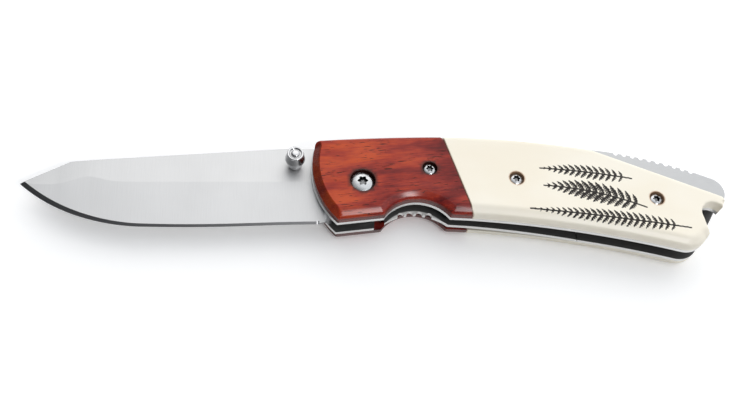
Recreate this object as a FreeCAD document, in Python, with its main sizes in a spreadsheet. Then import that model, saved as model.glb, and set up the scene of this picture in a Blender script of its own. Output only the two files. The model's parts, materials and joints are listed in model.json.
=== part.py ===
import FreeCAD
import Part
import Sketcher

import math
import os
import re

# Driving dimensions of a liner-lock folding knife, in millimetres and degrees.
# Places are measured from the pivot axis: "reach" is along the knife towards the point or the butt,
# "rise" is towards the back (spine side) and "drop" is towards the edge side.
SIZES = [
    # stack across the knife, from the blade outwards
    ("blade_thickness", 3.4),
    ("running_clearance", 0.03),
    ("washer_thickness", 0.4),
    ("liner_thickness", 1.2),
    ("scale_thickness", 3.7),
    # blade
    ("blade_reach", 92.9),
    ("point_rise", 2.9),
    ("point_land", 0.15),
    ("edge_drop", 10.1),
    ("belly_length", 32.9),
    ("clip_length", 12.9),
    ("clip_rise", 9.3),
    ("ramp_reach", 21.0),
    ("spine_rise", 13.7),
    ("heel_reach", 12.8),
    ("grind_rise", 2.6),
    ("grind_sweep", 1.8),
    ("edge_width", 0.3),
    # tang
    ("tang_radius", 8.7),
    ("shoulder_radius", 13.4),
    ("lock_face_reach", 6.15),
    ("lock_face_top", 1.9),
    ("shoulder_clearance", 0.05),
    ("closed_angle", 175.0),
    ("stop_distance", 11.0),
    ("stop_angle", 50.0),
    ("stop_diameter", 4.0),
    # pivot
    ("barrel_diameter", 6.0),
    ("barrel_bore", 3.2),
    ("turning_clearance", 0.03),
    ("fit_clearance", 0.02),
    ("washer_diameter", 12.4),
    ("pivot_head_diameter", 6.5),
    ("pivot_head_height", 2.8),
    ("pivot_rim", 1.9),
    ("pivot_bore_diameter", 7.1),
    ("pivot_bore_depth", 2.9),
    ("pivot_drive", 2.9),
    ("pivot_drive_depth", 1.4),
    ("pivot_engagement", 2.6),
    # thumb stud
    ("stud_reach", 18.5),
    ("stud_rise", 8.1),
    ("stud_height", 6.6),
    ("stud_head_diameter", 4.7),
    ("stud_belly_diameter", 5.7),
    ("stud_belly_drop", 3.0),
    ("stud_base_diameter", 3.7),
    ("stud_rim", 0.7),
    ("stud_chamfer", 0.3),
    ("stud_shank_diameter", 2.4),
    ("stud_bore", 1.3),
    ("stud_screw_head", 3.6),
    ("stud_screw_height", 0.7),
    # handle outline
    ("nose_foot_reach", 7.4),
    ("nose_foot_drop", 11.5),
    ("nose_brow_reach", 13.2),
    ("nose_brow_rise", 11.6),
    ("nose_bulge", 3.09),
    ("brow_run", 2.7),
    ("brow_lift", 2.1),
    ("brow_bulge", 0.25),
    ("joint_top_reach", 24.0),
    ("back_rise", 14.9),
    ("back_bulge", 0.35),
    ("joint_foot_reach", 30.3),
    ("joint_foot_drop", 10.4),
    ("butt_reach", 107.6),
    ("butt_radius", 4.8),
    ("butt_drop", 1.7),
    ("hump_length", 39.6),
    ("hump_rise", 12.8),
    ("hump_bulge", 1.45),
    ("hump_end_angle", 75.0),
    ("heel_offset", 16.3),
    ("heel_radius", 6.5),
    ("heel_drop", 21.0),
    ("palm_radius", 324.0),
    ("cut_start_reach", 5.6),
    ("cut_end_land", 6.0),
    ("cut_drop", 10.05),
    ("cut_depth", 4.88),
    # scales and bolsters
    ("nose_bevel", 2.0),
    ("edge_round", 1.1),
    ("shoulder_offset", 39.3),
    ("scale_shoulder_rise", 10.7),
    ("scale_top_bulge", 0.97),
    ("scale_tail", 1.35),
    ("shoulder_round", 6.0),
    ("tail_round", 1.5),
    ("notch_radius", 3.7),
    ("notch_drop", 11.7),
    ("notch_inset", 1.2),
    # back spacer and its teeth
    ("spacer_toe_depth", 3.2),
    ("spacer_knee_offset", 29.6),
    ("spacer_knee_rise", 2.0),
    ("spacer_tail_offset", 10.6),
    ("spacer_tail_drop", 6.6),
    ("tooth_pitch", 2.55),
    ("tooth_radius", 0.7),
    ("tooth_start", 9.0),
    ("tooth_count", 10),
    ("spacer_pin_diameter", 2.5),
    ("pin_front_offset", 27.6),
    ("pin_front_rise", 3.6),
    ("pin_back_offset", 9.9),
    ("pin_back_drop", 4.0),
    ("lanyard_pin_diameter", 3.0),
    ("lanyard_pin_offset", 13.0),
    ("lanyard_pin_drop", 12.6),
    # small screws
    ("screw_head_diameter", 3.7),
    ("screw_head_height", 1.75),
    ("screw_rim", 1.15),
    ("screw_shank", 2.0),
    ("screw_bore_diameter", 4.3),
    ("screw_bore_depth", 1.9),
    ("screw_drive", 2.1),
    ("screw_drive_depth", 1.0),
    ("drive_waist", 0.72),
    ("bolster_screw_reach", 19.25),
    ("bolster_screw_rise", 3.96),
    ("mid_screw_reach", 44.0),
    ("mid_screw_rise", 0.7),
    ("tail_screw_offset", 23.4),
    ("tail_screw_drop", 6.0),
    # lock leaf
    ("leaf_angle", 1.95),
    ("leaf_clearance", 0.05),
    ("leaf_root_reach", 62.0),
    ("leaf_root_width", 7.0),
    ("leaf_top_drop", 2.6),
    ("leaf_toe_drop", 9.7),
    ("leaf_slit", 0.8),
    ("leaf_window", 1.6),
    ("leaf_rake", 2.7),
    ("leaf_cut_depth", 3.04),
    ("scallop_radius", 1.0),
    ("scallop_pitch", 2.7),
    ("scallop_count", 4),
    ("relief_radius", 0.45),
    ("ball_diameter", 1.6),
    ("ball_rise", 0.5),
    ("ball_reach", 9.0),
    ("ball_drop", 5.2),
]

NAMES = {alias for alias, _ in SIZES}

doc = FreeCAD.newDocument("folding_knife")
sheet = doc.addObject("Spreadsheet::Sheet", "Sizes")
for row, (alias, value) in enumerate(SIZES, 1):
    sheet.set(f"A{row}", alias)
    sheet.set(f"B{row}", str(value))
    sheet.setAlias(f"B{row}", alias)
doc.recompute()


def in_sheet(text):
    """An expression in size names, as the document reads it."""
    return re.sub(r"[a-z]\w*", lambda word: f"Sizes.{word[0]}" if word[0] in NAMES else word[0], text)


def number(text):
    """The present value of an expression in size names."""
    result = sheet.evalExpression(in_sheet(text))
    return float(getattr(result, "Value", result))


def bind(thing, place, text):
    """Ties a property or constraint to an expression in size names."""
    thing.setExpression(place, in_sheet(text))


def settle(thing, x="0", y="0", z="0"):
    """Places a piece by its distance from the pivot axis and its height above the rear face."""
    bind(thing, "Placement.Base.x", f"{PIVOT_X} + ({x})")
    bind(thing, "Placement.Base.y", f"{PIVOT_Y} + ({y})")
    bind(thing, "Placement.Base.z", z)
    return thing


# Heights from the middle of the blade: inner faces of the liners, their outer faces, faces of the scales.
GAP = "(blade_thickness / 2 + running_clearance + washer_thickness)"
SHELL = f"({GAP} + liner_thickness)"
FACE = f"({SHELL} + scale_thickness)"
# The pivot axis from the middle of the knife's box.
PIVOT_X = "((blade_reach - butt_reach) / 2)"
PIVOT_Y = "((heel_drop - back_rise) / 2)"


def arc_radius(start, stop, depth):
    """Radius of an arc between two corners that stands off its chord by depth."""
    chord = f"((({stop[0]}) - ({start[0]}))^2 + (({stop[1]}) - ({start[1]}))^2)"
    return f"(({chord} / 4 + {depth}^2) / (2 * {depth}))"


def arc_centre(start, stop, depth, side):
    """Centre of that arc; side is 1 where it stands off to the left on the way from start to stop."""
    run, climb = f"(({stop[0]}) - ({start[0]}))", f"(({stop[1]}) - ({start[1]}))"
    back = f"(({arc_radius(start, stop, depth)} - {depth}) * {side} / sqrt({run}^2 + {climb}^2))"
    return (
        f"((({start[0]}) + ({stop[0]})) / 2 + {climb} * {back})",
        f"((({start[1]}) + ({stop[1]})) / 2 - {run} * {back})",
    )


def new_body(label, x="0", y="0", z=FACE):
    body = doc.addObject("PartDesign::Body", label)
    body.Label = label
    return settle(body, x, y, z)


def new_sketch(body, role="XY_Plane", offset=None):
    """A sketch on one of the body's own planes, lifted off it by offset."""
    plane = next(feature for feature in body.Origin.OriginFeatures if feature.Role == role)
    sketch = body.newObject("Sketcher::SketchObject", "Sketch")
    sketch.AttachmentSupport = (plane, [""])
    sketch.MapMode = "FlatFace"
    if offset:
        bind(sketch, "AttachmentOffset.Base.z", offset)
    return sketch


def hold(sketch, kind, *places, text):
    """Adds a constraint whose value is an expression in size names."""
    index = sketch.addConstraint(Sketcher.Constraint(kind, *places, number(text)))
    bind(sketch, f"Constraints[{index}]", text)


def draw(sketch, steps):
    """Draws a closed outline. Each step is a corner and the line that leaves it: None for a straight
    run, or an arc's radius and the side it bulges to (1 is left of the way to the next corner)."""
    runs = []
    for (corner, curve), (following, _) in zip(steps, steps[1:] + steps[:1]):
        start, stop = (FreeCAD.Vector(number(x), number(y)) for x, y in (corner, following))
        if curve is None:
            runs.append((sketch.addGeometry(Part.LineSegment(start, stop)), 1, 2))
            continue
        radius, side = curve
        chord = stop - start
        depth = number(radius) - math.sqrt(number(radius) ** 2 - chord.Length**2 / 4)
        left = FreeCAD.Vector(-chord.y, chord.x).normalize()
        middle = (start + stop) / 2 + left * depth * side
        # arcs are kept anticlockwise
        ends = (start, stop) if side < 0 else (stop, start)
        arc = sketch.addGeometry(Part.Arc(ends[0], middle, ends[1]))
        hold(sketch, "Radius", arc, text=radius)
        runs.append((arc, 1, 2) if side < 0 else (arc, 2, 1))
    for (run, start, stop), (after, after_start, _), (corner, _) in zip(runs, runs[1:] + runs[:1], steps):
        sketch.addConstraint(Sketcher.Constraint("Coincident", run, stop, after, after_start))
        hold(sketch, "DistanceX", run, start, text=corner[0])
        hold(sketch, "DistanceY", run, start, text=corner[1])


def draw_circle(sketch, x, y, radius):
    centre = FreeCAD.Vector(number(x), number(y))
    circle = sketch.addGeometry(Part.Circle(centre, FreeCAD.Vector(0, 0, 1), number(radius)))
    hold(sketch, "Radius", circle, text=radius)
    hold(sketch, "DistanceX", circle, 3, text=x)
    hold(sketch, "DistanceY", circle, 3, text=y)


def pad(body, sketch, length, down=False):
    feature = body.newObject("PartDesign::Pad", "Pad")
    feature.Profile = sketch
    feature.Reversed = down
    bind(feature, "Length", length)
    doc.recompute()


def pocket(body, sketch, depth=None, up=False):
    """Cuts a sketch into the body, right through unless a depth is given."""
    feature = body.newObject("PartDesign::Pocket", "Pocket")
    feature.Profile = sketch
    feature.Reversed = up
    if depth:
        bind(feature, "Length", depth)
    else:
        feature.Type = "ThroughAll"
    before = body.Shape.Volume
    doc.recompute()
    if not body.Shape.Volume < before:
        raise RuntimeError(f"a pocket of {body.Label} cuts nothing")


def revolve(body, sketch):
    feature = body.newObject("PartDesign::Revolution", "Revolution")
    feature.Profile = sketch
    feature.ReferenceAxis = (sketch, ["V_Axis"])
    doc.recompute()


def break_edges(body, kind, size, wanted):
    """Rounds or bevels the body's edges for which wanted(edge) is true."""
    base = body.Tip
    names = [f"Edge{n}" for n, edge in enumerate(base.Shape.Edges, 1) if wanted(edge)]
    feature = body.newObject(f"PartDesign::{kind}", kind)
    feature.Base = (base, names)
    bind(feature, {"Fillet": "Radius", "Chamfer": "Size"}[kind], size)
    doc.recompute()


def cylinder(label, radius, height, x="0", y="0", z="0"):
    piece = doc.addObject("Part::Cylinder", label)
    piece.Label = label
    bind(piece, "Radius", radius)
    bind(piece, "Height", height)
    return settle(piece, x, y, z)


# Corners that the liners, bolsters, scales and spacer share, seen from the show side.
NOSE_FOOT = ("-nose_foot_reach", "-nose_foot_drop")
NOSE_BROW = ("-nose_brow_reach", "nose_brow_rise")
BROW = ("brow_run - nose_brow_reach", "nose_brow_rise + brow_lift")
JOINT_TOP = ("joint_top_reach", "back_rise")
JOINT_FOOT = ("joint_foot_reach", "-joint_foot_drop")
HUMP = ("butt_reach - hump_length", "hump_rise")
HUMP_END = (
    "butt_reach - butt_radius + butt_radius * cos(hump_end_angle)",
    "butt_radius * sin(hump_end_angle) - butt_drop",
)
# The butt's straight end touches the circles of the butt and the heel. END is its outward direction.
BUTT_CENTRE = ("(butt_reach - butt_radius)", "(-butt_drop)")
HEEL_CENTRE = ("(butt_reach - heel_offset)", "(heel_radius - heel_drop)")
END_RUN, END_CLIMB = (f"({HEEL_CENTRE[n]} - {BUTT_CENTRE[n]})" for n in (0, 1))
END_SQUARE = f"({END_RUN}^2 + {END_CLIMB}^2)"
END_LEAN = "(butt_radius - heel_radius)"
END_REST = f"sqrt({END_SQUARE} - {END_LEAN}^2)"
END = (
    f"(({END_LEAN} * {END_RUN} - {END_REST} * {END_CLIMB}) / {END_SQUARE})",
    f"(({END_REST} * {END_RUN} + {END_LEAN} * {END_CLIMB}) / {END_SQUARE})",
)
BUTT = tuple(f"({BUTT_CENTRE[n]} + butt_radius * {END[n]})" for n in (0, 1))
HEEL_END = tuple(f"({HEEL_CENTRE[n]} + heel_radius * {END[n]})" for n in (0, 1))
# The hollow palm edge leaves the heel's circle along it and runs to the foot of the joint.
PALM_RUN = f"(joint_foot_reach - {HEEL_CENTRE[0]})"
PALM_CLIMB = f"(-joint_foot_drop - {HEEL_CENTRE[1]})"
PALM_SPAN = f"sqrt({PALM_RUN}^2 + {PALM_CLIMB}^2)"
PALM_REACH = "(palm_radius + heel_radius)"
PALM_ALONG = f"(({PALM_REACH}^2 - palm_radius^2 + {PALM_SPAN}^2) / (2 * {PALM_SPAN}^2))"
PALM_ASIDE = f"(sqrt({PALM_REACH}^2 - ({PALM_ALONG} * {PALM_SPAN})^2) / {PALM_SPAN})"
PALM_CENTRE = (
    f"({HEEL_CENTRE[0]} + {PALM_ALONG} * {PALM_RUN} - {PALM_ASIDE} * {PALM_CLIMB})",
    f"({HEEL_CENTRE[1]} + {PALM_ALONG} * {PALM_CLIMB} + {PALM_ASIDE} * {PALM_RUN})",
)
HEEL = tuple(
    f"({HEEL_CENTRE[n]} + ({PALM_CENTRE[n]} - {HEEL_CENTRE[n]}) * heel_radius / {PALM_REACH})" for n in (0, 1)
)
CUT_END = ("joint_foot_reach - cut_end_land", "-cut_drop")
CUT_START = ("cut_start_reach", "-cut_drop")

# Curves between those corners.
NOSE_CURVE = (arc_radius(NOSE_FOOT, NOSE_BROW, "nose_bulge"), 1)
BROW_CURVE = (arc_radius(NOSE_BROW, BROW, "brow_bulge"), 1)
BACK_CURVE = (arc_radius(JOINT_TOP, HUMP, "back_bulge"), 1)
HUMP_CURVE = (arc_radius(HUMP, HUMP_END, "hump_bulge"), 1)
BUTT_CURVE = ("butt_radius", 1)
HEEL_CURVE = ("heel_radius", 1)
PALM_CURVE = ("palm_radius", -1)
CUT_CURVE = (arc_radius(CUT_END, CUT_START, "cut_depth"), -1)

# Places of the screws and pins.
BOLSTER_SCREW = ("bolster_screw_reach", "bolster_screw_rise")
MID_SCREW = ("mid_screw_reach", "mid_screw_rise")
TAIL_SCREW = ("butt_reach - tail_screw_offset", "-tail_screw_drop")
SMALL_SCREWS = {"bolster": BOLSTER_SCREW, "mid": MID_SCREW, "tail": TAIL_SCREW}
STOP_PIN = ("stop_distance * cos(stop_angle)", "stop_distance * sin(stop_angle)")
PINS = {
    "stop_pin": (*STOP_PIN, "stop_diameter"),
    "spacer_pin_front": ("butt_reach - pin_front_offset", "pin_front_rise", "spacer_pin_diameter"),
    "spacer_pin_back": ("butt_reach - pin_back_offset", "-pin_back_drop", "spacer_pin_diameter"),
    "lanyard_pin": ("butt_reach - lanyard_pin_offset", "-lanyard_pin_drop", "lanyard_pin_diameter"),
}
NOTCH = (
    f"{BUTT[0]} + (notch_drop + {BUTT[1]}) * {END[1]} / {END[0]} - notch_inset * {END[0]}",
    f"-notch_drop - notch_inset * {END[1]}",
    "notch_radius",
)

# The lock leaf's root: its hinge line, and the corners where the leaf leaves the liner.
ROOT_LOW = f"({PALM_CENTRE[1]} + sqrt(palm_radius^2 - (leaf_root_reach - {PALM_CENTRE[0]})^2))"
ROOT_TOP = f"({ROOT_LOW} + leaf_root_width)"
LEAF_TOE = "(lock_face_reach + leaf_clearance)"


def cut_teeth(body, up):
    """Cuts the row of round notches along the hump of a liner or the spacer."""
    radius = arc_radius(HUMP, HUMP_END, "hump_bulge")
    centre = arc_centre(HUMP, HUMP_END, "hump_bulge", 1)
    first = f"(90 - (tooth_start + butt_reach - hump_length - {centre[0]}) / {radius} * 180 / pi)"
    sketch = new_sketch(body)
    for tooth in range(round(number("tooth_count"))):
        angle = f"({first} - {tooth} * tooth_pitch / {radius} * 180 / pi)"
        x = f"{centre[0]} + {radius} * cos({angle})"
        y = f"{centre[1]} + {radius} * sin({angle})"
        draw_circle(sketch, x, y, "tooth_radius")
    pocket(body, sketch, up=up)


def liner(label, front):
    """A steel side plate with the knife's whole outline, its pivot, screw and pin holes, and its teeth."""
    body = new_body(label, z=f"{FACE} + {GAP}" if front else f"{FACE} - {GAP}")
    sketch = new_sketch(body)
    draw(
        sketch,
        [
            (NOSE_FOOT, NOSE_CURVE),
            (NOSE_BROW, BROW_CURVE),
            (BROW, None),
            (JOINT_TOP, BACK_CURVE),
            (HUMP, HUMP_CURVE),
            (HUMP_END, BUTT_CURVE),
            (BUTT, None),
            (HEEL_END, HEEL_CURVE),
            (HEEL, PALM_CURVE),
            (JOINT_FOOT, None),
            (CUT_END, CUT_CURVE),
            (CUT_START, None),
        ],
    )
    pad(body, sketch, "liner_thickness", down=not front)
    holes = new_sketch(body)
    draw_circle(holes, "0", "0", "barrel_diameter / 2 + fit_clearance")
    for x, y in SMALL_SCREWS.values():
        draw_circle(holes, x, y, "screw_shank / 2 + fit_clearance")
    for x, y, diameter in PINS.values():
        draw_circle(holes, x, y, f"{diameter} / 2 + fit_clearance")
    pocket(body, holes, up=front)
    cut_teeth(body, up=front)
    return body


front_liner = liner("front_liner", front=True)
notch = new_sketch(front_liner)
draw_circle(notch, *NOTCH)
pocket(front_liner, notch, up=True)

# The rear liner is open below a slit, where the lock leaf lies.
rear_liner = liner("rear_liner", front=False)
window = new_sketch(rear_liner)
draw(
    window,
    [
        ((f"{LEAF_TOE} - leaf_window", "leaf_slit - leaf_top_drop"), None),
        (("leaf_root_reach", f"{ROOT_TOP} + leaf_slit"), None),
        (("leaf_root_reach", "-heel_drop"), None),
        ((f"{LEAF_TOE} - leaf_window - leaf_rake", "-heel_drop"), None),
    ],
)
pocket(rear_liner, window)


def lock_leaf():
    """The sprung strip, drawn flat from its hinge line and tilted inward to stand behind the tang."""
    body = new_body("lock_leaf", x="leaf_root_reach", z=f"{FACE} - {GAP}")
    body.Placement.Rotation = FreeCAD.Rotation(FreeCAD.Vector(0, 1, 0), number("leaf_angle"))
    bind(body, "Placement.Rotation.Angle", "leaf_angle")

    def from_root(corner):
        return (f"({corner[0]}) - leaf_root_reach", corner[1])

    toe = (LEAF_TOE, "-leaf_toe_drop")
    sketch = new_sketch(body)
    steps = [
        (toe, None),
        ((LEAF_TOE, "-leaf_top_drop"), None),
        (("leaf_root_reach - fit_clearance", ROOT_TOP), None),
        (("leaf_root_reach - fit_clearance", ROOT_LOW), PALM_CURVE),
        (JOINT_FOOT, None),
        (CUT_END, (arc_radius(CUT_END, toe, "leaf_cut_depth"), -1)),
    ]
    draw(sketch, [(from_root(corner), curve) for corner, curve in steps])
    pad(body, sketch, "liner_thickness", down=True)
    # thumb scallops along the cut, and the hole for the ball
    cuts = new_sketch(body)
    radius = arc_radius(CUT_END, toe, "leaf_cut_depth")
    centre = arc_centre(CUT_END, toe, "leaf_cut_depth", -1)
    count = round(number("scallop_count"))
    for scallop in range(count):
        turn = f"(90 - ({scallop} - (scallop_count - 1) / 2) * scallop_pitch / {radius} * 180 / pi)"
        x = f"{centre[0]} + {radius} * cos({turn})"
        y = f"{centre[1]} + {radius} * sin({turn})"
        draw_circle(cuts, *from_root((x, y)), "scallop_radius")
    draw_circle(cuts, *from_root(("ball_reach", "-ball_drop")), "ball_diameter / 2 + fit_clearance")
    pocket(body, cuts)
    # round relief across the root, on the hinge line
    relief = new_sketch(body, "XZ_Plane")
    draw_circle(relief, "0", "0", "relief_radius")
    pocket(body, relief, up=True)


lock_leaf()

ball = doc.addObject("Part::Sphere", "detent_ball")
ball.Label = "detent_ball"
bind(ball, "Radius", "ball_diameter / 2")
BALL_ALONG, BALL_SUNK = "(ball_reach - leaf_root_reach)", "(ball_rise - ball_diameter / 2)"
settle(
    ball,
    f"leaf_root_reach + {BALL_ALONG} * cos(leaf_angle) + {BALL_SUNK} * sin(leaf_angle)",
    "-ball_drop",
    f"{FACE} - {GAP} - {BALL_ALONG} * sin(leaf_angle) + {BALL_SUNK} * cos(leaf_angle)",
)


def cover(label, front, steps, places, kind):
    """A bolster or scale: a plate on the liner with through holes and counterbores for its screws."""
    body = new_body(label, z=f"{FACE} + {SHELL}" if front else f"{FACE} - {SHELL}")
    outer = "scale_thickness" if front else "-scale_thickness"
    sketch = new_sketch(body)
    draw(sketch, steps)
    pad(body, sketch, "scale_thickness", down=not front)
    kind(body, number(outer))
    holes, bores = new_sketch(body), {}
    for x, y, shank, bore, depth in places:
        draw_circle(holes, x, y, f"{shank} / 2 + fit_clearance")
        bores.setdefault(depth, []).append((x, y, f"{bore} / 2"))
    pocket(body, holes, up=front)
    for depth, circles in bores.items():
        counterbore = new_sketch(body, offset=outer)
        for circle in circles:
            draw_circle(counterbore, *circle)
        pocket(body, counterbore, depth, up=not front)
    return body


def on_face(edge, height):
    return all(abs(vertex.Z - height) < 1e-6 for vertex in edge.Vertexes)


def touches(edge, corner):
    """True where one end of the edge stands over a corner."""
    x, y = number(corner[0]), number(corner[1])
    return any(math.hypot(vertex.X - x, vertex.Y - y) < 1e-4 for vertex in edge.Vertexes)


def shape_bolster(body, height):
    """The slanted nose, and the rounded long edges."""
    def nose(edge):
        return on_face(edge, height) and touches(edge, NOSE_BROW)

    def long_edges(edge):
        joint = touches(edge, JOINT_TOP) and touches(edge, JOINT_FOOT)
        top_or_foot = any(touches(edge, c) for c in (JOINT_TOP, JOINT_FOOT, CUT_END, CUT_START))
        return on_face(edge, height) and top_or_foot and not joint

    break_edges(body, "Chamfer", "nose_bevel", nose)
    break_edges(body, "Fillet", "edge_round", long_edges)


def shape_scale(body, height):
    """The two corners by the hump are rounded, then all edges of the outer face apart from the joint."""
    def standing(corner):
        return lambda edge: not on_face(edge, height) and all(
            math.hypot(v.X - number(corner[0]), v.Y - number(corner[1])) < 1e-4 for v in edge.Vertexes
        )

    def rim(edge):
        joint = touches(edge, JOINT_TOP) and touches(edge, JOINT_FOOT)
        return on_face(edge, height) and not joint

    break_edges(body, "Fillet", "shoulder_round", standing(SCALE_SHOULDER))
    break_edges(body, "Fillet", "tail_round", standing(SCALE_TAIL))
    break_edges(body, "Fillet", "edge_round", rim)


SCALE_SHOULDER = ("butt_reach - shoulder_offset", "scale_shoulder_rise")
SCALE_TAIL = (
    f"{BUTT[0]} + scale_tail * {END[1]}",
    f"{BUTT[1]} - scale_tail * {END[0]}",
)
PIVOT_HOLE = ("0", "0", "barrel_bore", "pivot_bore_diameter", "pivot_bore_depth")
for side, front in (("front", True), ("rear", False)):
    def screw_hole(place):
        return (*place, "screw_shank", "screw_bore_diameter", "screw_bore_depth")

    cover(
        f"{side}_bolster",
        front,
        [
            (NOSE_FOOT, NOSE_CURVE),
            (NOSE_BROW, BROW_CURVE),
            (BROW, None),
            (JOINT_TOP, None),
            (JOINT_FOOT, None),
            (CUT_END, CUT_CURVE),
            (CUT_START, None),
        ],
        [PIVOT_HOLE, screw_hole(BOLSTER_SCREW)],
        shape_bolster,
    )
    scale = cover(
        f"{side}_scale",
        front,
        [
            (JOINT_TOP, (arc_radius(JOINT_TOP, SCALE_SHOULDER, "scale_top_bulge"), 1)),
            (SCALE_SHOULDER, None),
            (SCALE_TAIL, None),
            (HEEL_END, HEEL_CURVE),
            (HEEL, PALM_CURVE),
            (JOINT_FOOT, None),
        ],
        [screw_hole(MID_SCREW), screw_hole(TAIL_SCREW)],
        shape_scale,
    )
    if front:
        bite = new_sketch(scale)
        draw_circle(bite, *NOTCH)
        pocket(scale, bite, up=True)

# The spacer fills the back of the handle under the hump, clear of the folded edge.
back_spacer = new_body("back_spacer", z=f"{FACE} - {GAP}")
spacer_outline = new_sketch(back_spacer)
draw(
    spacer_outline,
    [
        (HUMP, HUMP_CURVE),
        (HUMP_END, BUTT_CURVE),
        (BUTT, None),
        (("butt_reach - spacer_tail_offset", "-spacer_tail_drop"), None),
        (("butt_reach - spacer_knee_offset", "spacer_knee_rise"), None),
        (("butt_reach - hump_length", "hump_rise - spacer_toe_depth"), None),
    ],
)
pad(back_spacer, spacer_outline, f"2 * {GAP}")
pin_holes = new_sketch(back_spacer)
for pin in ("spacer_pin_front", "spacer_pin_back"):
    draw_circle(pin_holes, PINS[pin][0], PINS[pin][1], f"{PINS[pin][2]} / 2 + fit_clearance")
pocket(back_spacer, pin_holes, up=True)
cut_teeth(back_spacer, up=True)

for label, (x, y, diameter) in PINS.items():
    cylinder(label, f"{diameter} / 2", f"2 * {SHELL}", x, y, "scale_thickness")


def ring(label, outer, inner, height, z):
    """A round sleeve about the pivot axis."""
    piece = doc.addObject("Part::Cut", label)
    piece.Label = label
    piece.Base = cylinder(f"{label}_outside", f"{outer} / 2", height, z=z)
    piece.Tool = cylinder(f"{label}_bore", inner, height, z=z)


ring("pivot_barrel", "barrel_diameter", "barrel_bore / 2", f"2 * {SHELL}", "scale_thickness")
WASHER_BORE = "barrel_diameter / 2 + turning_clearance"
ring("front_washer", "washer_diameter", WASHER_BORE, "washer_thickness", f"{FACE} + {GAP} - washer_thickness")
ring("rear_washer", "washer_diameter", WASHER_BORE, "washer_thickness", f"{FACE} - {GAP}")


def screw(label, front, place, sizes, bore_depth, shank_length):
    """A domed screw with a six-lobed drive. The underside of its head lies on its body's own XY plane."""
    head, height, rim, shank, drive, drive_depth = sizes
    body = new_body(label, *place, z=f"2 * {FACE} - {bore_depth}" if front else bore_depth)
    if not front:
        body.Placement.Rotation = FreeCAD.Rotation(FreeCAD.Vector(1, 0, 0), 180)
    profile = new_sketch(body, "XZ_Plane")
    dome = f"((({head} / 2)^2 + ({height} - {rim})^2) / (2 * ({height} - {rim})))"
    draw(
        profile,
        [
            (("0", f"-({shank_length})"), None),
            ((f"{shank} / 2", f"-({shank_length})"), None),
            ((f"{shank} / 2", "0"), None),
            ((f"{head} / 2", "0"), None),
            ((f"{head} / 2", rim), (dome, -1)),
            (("0", height), None),
        ],
    )
    revolve(body, profile)
    recess = new_sketch(body, offset=height)
    lobes = []
    for corner in range(12):
        reach = f"{drive} / 2" if corner % 2 else f"{drive} / 2 * drive_waist"
        lobes.append(((f"{reach} * cos({30 * corner})", f"{reach} * sin({30 * corner})"), None))
    draw(recess, lobes)
    pocket(body, recess, drive_depth)


PIVOT_SCREW = (
    "pivot_head_diameter",
    "pivot_head_height",
    "pivot_rim",
    "(barrel_bore - 2 * fit_clearance)",
    "pivot_drive",
    "pivot_drive_depth",
)
SMALL_SCREW = (
    "screw_head_diameter",
    "screw_head_height",
    "screw_rim",
    "screw_shank",
    "screw_drive",
    "screw_drive_depth",
)
for side, front in (("front", True), ("rear", False)):
    pivot_shank = "scale_thickness - pivot_bore_depth + pivot_engagement"
    screw(f"{side}_pivot_screw", front, ("0", "0"), PIVOT_SCREW, "pivot_bore_depth", pivot_shank)
    for name, place in SMALL_SCREWS.items():
        small_shank = "scale_thickness - screw_bore_depth + liner_thickness"
        screw(f"{side}_{name}_screw", front, place, SMALL_SCREW, "screw_bore_depth", small_shank)


def blade_section(reach):
    """The blade's cross-section at a distance from the pivot: flat sides from the back to the grind
    line, then a straight bevel on each side to the edge. The last stretch narrows to the point, which
    is cut off just short of where the edge and the back meet."""
    size = {alias: number(alias) for alias, _ in SIZES}
    point = size["blade_reach"] + size["point_land"]
    straight = point - size["belly_length"]
    share = max(0.0, (reach - straight) / size["belly_length"])
    # the belly is an arc that leaves the straight edge along it and ends at the point
    rise = size["point_rise"] + size["edge_drop"]
    belly = (size["belly_length"] ** 2 + rise**2) / (2 * rise)
    edge = belly - math.sqrt(belly**2 - (share * size["belly_length"]) ** 2) - size["edge_drop"]
    # the back is straight, and from its corner the clip falls in a straight line to the point
    clip = point - size["clip_length"]
    slope = (size["spine_rise"] - size["clip_rise"]) / (clip - size["ramp_reach"])
    if reach <= size["ramp_reach"]:
        back = size["spine_rise"]
    elif reach <= clip:
        back = size["spine_rise"] - slope * (reach - size["ramp_reach"])
    else:
        fall = (size["clip_rise"] - size["point_rise"]) / size["clip_length"]
        back = size["clip_rise"] - fall * (reach - clip)
    grind = size["grind_rise"] + (size["point_rise"] - size["grind_rise"]) * share
    grind += size["grind_sweep"] * math.sin(math.pi * share) ** 2
    half, land = size["blade_thickness"] / 2, size["edge_width"] / 2
    steepness = (half - land) / (size["grind_rise"] + size["edge_drop"])
    half = min(half, land + steepness * (grind - edge))
    side = [(back, half), (grind, half), (edge, land)]
    corners = side + [(y, -z) for y, z in reversed(side)]
    return Part.makePolygon([FreeCAD.Vector(-reach, y, z) for y, z in corners + corners[:1]])


def blade_stretch(label, reaches, ruled):
    piece = doc.addObject("Part::Feature", label)
    piece.Shape = Part.makeLoft([blade_section(reach) for reach in reaches], True, ruled)
    return settle(piece, z=FACE)


# The tang turns on the barrel. Its two shoulders meet the stop pin, and its lower rear face the leaf.
PIN_SPAN = "(asin((stop_diameter / 2 + shoulder_clearance) / stop_distance) / 1 deg)"
OPEN_SHOULDER = f"(stop_angle + {PIN_SPAN})"
CLOSED_SHOULDER = f"(stop_angle - closed_angle - {PIN_SPAN})"


def around(radius, angle):
    return (f"{radius} * cos({angle})", f"{radius} * sin({angle})")


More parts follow.
